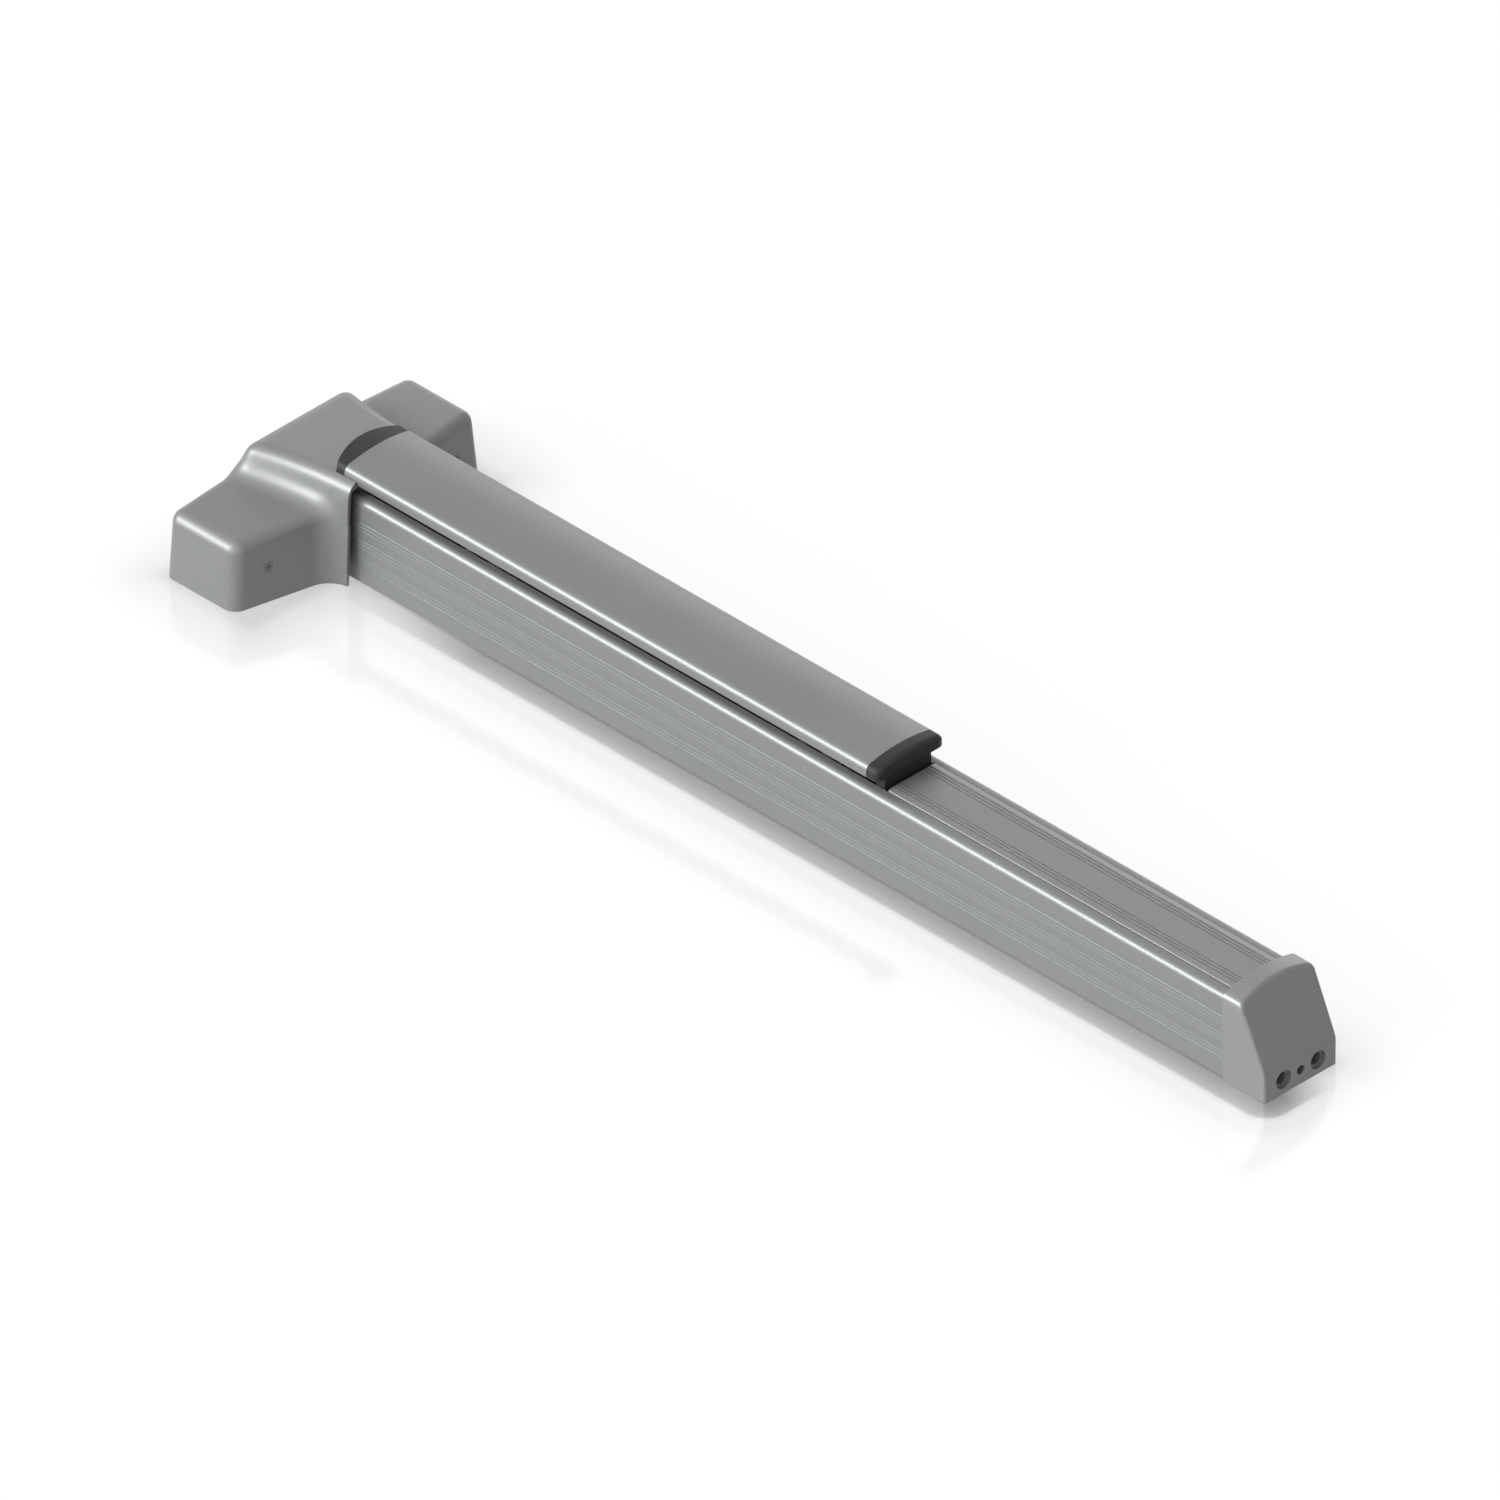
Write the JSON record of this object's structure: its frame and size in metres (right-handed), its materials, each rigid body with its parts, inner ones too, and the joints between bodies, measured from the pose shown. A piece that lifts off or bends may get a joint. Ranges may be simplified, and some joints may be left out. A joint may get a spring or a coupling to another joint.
{
  "type": "panic bar",
  "caption": "Rim panic bar: a push bar on a grooved rail works levers and a link that swing a sprung latch bolt out of a T-shaped head cover.",
  "frame": {"origin": "centre of the four door screws of the head's chassis plate, on the door face", "axes": "+X runs from the latch head to the end cap, +Y is across the bar, and +Z points away from the door face that the device lies on"},
  "size_m": [0.869, 0.2092, 0.0805],
  "materials": {
    "silver_paint": "satin grey silver paint on aluminium",
    "brushed_bar": "fine brushed along the bar, satin",
    "black_plastic": "matte moulded nylon",
    "rubber_bumper": "matte",
    "cast_zinc": "plated casting, satin",
    "plated_steel": "zinc plated, satin",
    "spring_steel": "drawn wire, satin"
  },
  "bodies": {
    "case": {"rail": "silver_paint", "filler_plate": "silver_paint", "end_cap": "silver_paint", "head_cover": "silver_paint", "end_cap_screws": "plated_steel", "end_bracket": "plated_steel", "tongue_screws": "plated_steel", "cover_screws": "plated_steel", "chassis_plate": "plated_steel", "splice_plate": "plated_steel", "splice_screws": "plated_steel", "latch_frame": "plated_steel", "latch_frame_rivets": "plated_steel", "latch_pin": "plated_steel", "front_base": "plated_steel", "rear_base": "plated_steel", "base_screws": "plated_steel", "front_crank_shaft": "plated_steel", "rear_crank_shaft": "plated_steel", "latch_spring": "spring_steel", "front_spring": "spring_steel", "rear_spring": "spring_steel"},
    "bar": {"push_bar": "brushed_bar", "bar_head_cap": "black_plastic", "bar_tail_cap": "black_plastic", "front_bar_bracket": "plated_steel", "rear_bar_bracket": "plated_steel", "bumpers": "rubber_bumper"},
    "front_lever": {"front_crank": "cast_zinc", "front_crank_pins": "plated_steel"},
    "rear_lever": {"rear_crank": "cast_zinc", "rear_crank_pins": "plated_steel"},
    "link": {"drive_link": "plated_steel"},
    "latch": {"latch_bolt": "cast_zinc", "latch_pull_pin": "plated_steel"},
    "guard": {"deadlatch": "cast_zinc"}
  },
  "joints": [
    {"name": "bar_push", "type": "slide", "parent": "case", "child": "bar", "axis": [0, 0, -1], "range_m": [0, 0.0075], "stiffness_N_per_m": 900, "springref_m": -0.02, "deforming": ["front_spring", "rear_spring"]},
    {"name": "front_lever_turn", "type": "hinge", "parent": "case", "child": "front_lever", "pos_m": [0.13, 0, 0.0363], "axis": [0, -1, 0], "range_deg": [0, 21.7]},
    {"name": "rear_lever_turn", "type": "hinge", "parent": "case", "child": "rear_lever", "pos_m": [0.41, 0, 0.0363], "axis": [0, -1, 0], "range_deg": [0, 21.7]},
    {"name": "link_pull", "type": "slide", "parent": "case", "child": "link", "axis": [1, 0, 0], "range_m": [0, 0.00915]},
    {"name": "latch_swing", "type": "hinge", "parent": "case", "child": "latch", "pos_m": [-0.02, 0, 0.046], "axis": [0, -1, 0], "range_deg": [0, 38.1]},
    {"name": "guard_swing", "type": "hinge", "parent": "case", "child": "guard", "pos_m": [-0.02, 0.012, 0.046], "axis": [0, -1, 0], "range_deg": [0, 38], "stiffness_Nm_per_rad": 0.1, "springref_deg": -40.11}
  ],
  "couplings": [
    {"joint": "front_lever_turn", "follows": "bar_push", "rad_per_m": 50.298},
    {"joint": "rear_lever_turn", "follows": "bar_push", "rad_per_m": 50.298},
    {"joint": "link_pull", "follows": "bar_push", "ratio": 1.2154},
    {"joint": "latch_swing", "follows": "bar_push", "rad_per_m": 88.43}
  ]
}
